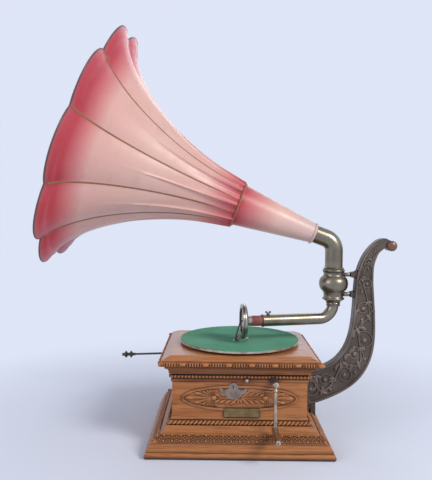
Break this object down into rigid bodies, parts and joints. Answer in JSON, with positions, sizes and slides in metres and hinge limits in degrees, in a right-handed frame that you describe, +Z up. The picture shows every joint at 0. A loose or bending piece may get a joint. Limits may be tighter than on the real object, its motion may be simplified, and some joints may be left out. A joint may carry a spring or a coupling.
{
  "type": "horn gramophone",
  "caption": "Antique disc gramophone: scalloped flower horn on a cast bracket, swinging tone arm, turntable and crank-wound spring motor in a moulded wooden case.",
  "frame": {"origin": "centre of the case's underside, on the surface the machine stands on", "axes": "+Z up; -Y is the front with the crank; the horn's mouth looks to -X and the bracket stands on the +X side"},
  "size_m": [0.7486, 0.513, 0.8457],
  "materials": {
    "oak": "varnished oak",
    "raw_wood": "plain softwood",
    "iron_black": "dark lacquered cast iron",
    "nickel": "worn nickel plate",
    "steel": "bright steel",
    "dark_steel": "darkened steel",
    "brass": "aged brass",
    "pewter": "dull grey metal",
    "horn_pink": "enamelled sheet steel",
    "horn_red": "enamelled sheet steel",
    "rim_brown": "enamelled rolled edge",
    "seam_gold": "painted seam",
    "felt": "wool felt",
    "rubber_red": "soft rubber",
    "mica": "mica disc",
    "grip_wood": "turned hardwood"
  },
  "bodies": {
    "case": {"bottom_board": "raw_wood", "front_panel": "oak", "back_panel": "oak", "left_panel": "oak", "right_panel": "oak", "plinth_moulding": "oak", "cornice_moulding": "oak", "top_board": "oak", "glue_blocks": "raw_wood", "name_plate": "brass", "badge_plate": "pewter", "plate_pins": "dark_steel", "crank_bush": "nickel", "motor_plate": "iron_black", "motor_lower_plate": "iron_black", "motor_pillars": "steel", "motor_bolts": "steel", "motor_bushes": "rubber_red", "bracket": "iron_black", "bracket_screws": "dark_steel", "swivel_bulb": "nickel"},
    "turntable": {"platter": "dark_steel", "platter_felt": "felt", "spindle": "steel", "worm_wheel": "brass"},
    "middle_train": {"middle_arbor": "steel", "middle_wheel": "brass"},
    "barrel": {"spring_barrel": "brass", "barrel_lid": "brass", "mainspring": "dark_steel"},
    "winding_arbor": {"barrel_arbor": "steel", "winding_wheel": "steel"},
    "crank": {"crank_shaft": "steel", "crank_arm": "nickel"},
    "grip": {"crank_grip": "grip_wood"},
    "pawl": {"ratchet_pawl": "steel"},
    "governor": {"governor_shaft": "steel", "governor_disc": "brass", "governor_springs": "steel", "governor_weights": "brass"},
    "speed_control": {"speed_screw": "nickel"},
    "lever": {"speed_lever": "steel"},
    "brake": {"brake_rod": "dark_steel", "brake_knob": "brass", "brake_shoe": "rubber_red"},
    "horn": {"horn_elbow": "nickel", "horn_neck": "horn_red", "horn_bell": "horn_pink", "horn_seams": "seam_gold", "horn_rim": "rim_brown"},
    "arm": {"tone_arm": "nickel", "arm_sleeve": "rubber_red"},
    "arm_screw": {"wing_screw": "nickel"},
    "reproducer": {"sound_box": "nickel", "diaphragm": "mica", "stylus_bar": "dark_steel", "needle": "steel"},
    "thumb_screw": {"needle_screw": "nickel"}
  },
  "joints": [
    {"name": "turntable_spin", "type": "hinge", "parent": "case", "child": "turntable", "pos_m": [0.0025, 0, 0.15], "axis": [0, 0, 1], "continuous": true},
    {"name": "middle_spin", "type": "hinge", "parent": "case", "child": "middle_train", "pos_m": [0.01863, 0.04201, 0.12], "axis": [0, 0, 1], "continuous": true},
    {"name": "barrel_spin", "type": "hinge", "parent": "case", "child": "barrel", "pos_m": [0.067, 0.01, 0.09], "axis": [0, 0, 1], "continuous": true},
    {"name": "governor_spin", "type": "hinge", "parent": "case", "child": "governor", "pos_m": [-0.03, -0.03707, 0.123], "axis": [1, 0, 0], "continuous": true},
    {"name": "crank_turn", "type": "hinge", "parent": "case", "child": "crank", "pos_m": [0.067, -0.118, 0.142], "axis": [0, -1, 0], "continuous": true},
    {"name": "winding_turn", "type": "hinge", "parent": "case", "child": "winding_arbor", "pos_m": [0.067, 0.01, 0.12], "axis": [0, 0, 1], "continuous": true},
    {"name": "grip_spin", "type": "hinge", "parent": "crank", "child": "grip", "pos_m": [0.067, -0.18, 0.0545], "axis": [0, -1, 0], "continuous": true},
    {"name": "pawl_swing", "type": "hinge", "parent": "case", "child": "pawl", "pos_m": [0.09, 0.032, 0.159], "axis": [0, 0, 1], "range_deg": [-20, 0]},
    {"name": "speed_turn", "type": "hinge", "parent": "case", "child": "speed_control", "pos_m": [0.0137, -0.118, 0.1427], "axis": [0, -1, 0], "range_deg": [-150, 150]},
    {"name": "lever_swing", "type": "hinge", "parent": "case", "child": "lever", "pos_m": [-0.03, -0.066, 0.139], "axis": [0, 0, 1], "range_deg": [-0.6, 0.6]},
    {"name": "brake_slide", "type": "slide", "parent": "case", "child": "brake", "axis": [0.9993, 0, 0.0384], "range_m": [-0.004, 0.006]},
    {"name": "horn_swing", "type": "hinge", "parent": "case", "child": "horn", "pos_m": [0.2042, 0, 0.346], "axis": [0, 0, 1], "range_deg": [-110, 110]},
    {"name": "tonearm_swing", "type": "hinge", "parent": "case", "child": "arm", "pos_m": [0.2042, 0, 0.285], "axis": [0, 0, 1], "range_deg": [-9, 24]},
    {"name": "wing_screw_turn", "type": "hinge", "parent": "arm", "child": "arm_screw", "pos_m": [0.06098, -0.03571, 0.258], "axis": [0, 0, 1], "range_deg": [-90, 90]},
    {"name": "soundbox_turn", "type": "hinge", "parent": "arm", "child": "reproducer", "pos_m": [0.03682, -0.04173, 0.2445], "axis": [-0.9962, -0.0872, 0], "range_deg": [-95, 0]},
    {"name": "needle_screw_turn", "type": "hinge", "parent": "reproducer", "child": "thumb_screw", "pos_m": [0.00694, -0.04435, 0.2069], "axis": [0.9962, 0.0872, 0], "range_deg": [-180, 180]}
  ],
  "couplings": [
    {"joint": "middle_spin", "follows": "turntable_spin", "ratio": -0.25},
    {"joint": "barrel_spin", "follows": "turntable_spin", "ratio": 0.052083},
    {"joint": "governor_spin", "follows": "turntable_spin", "ratio": -8},
    {"joint": "winding_turn", "follows": "crank_turn", "ratio": 0.5}
  ]
}
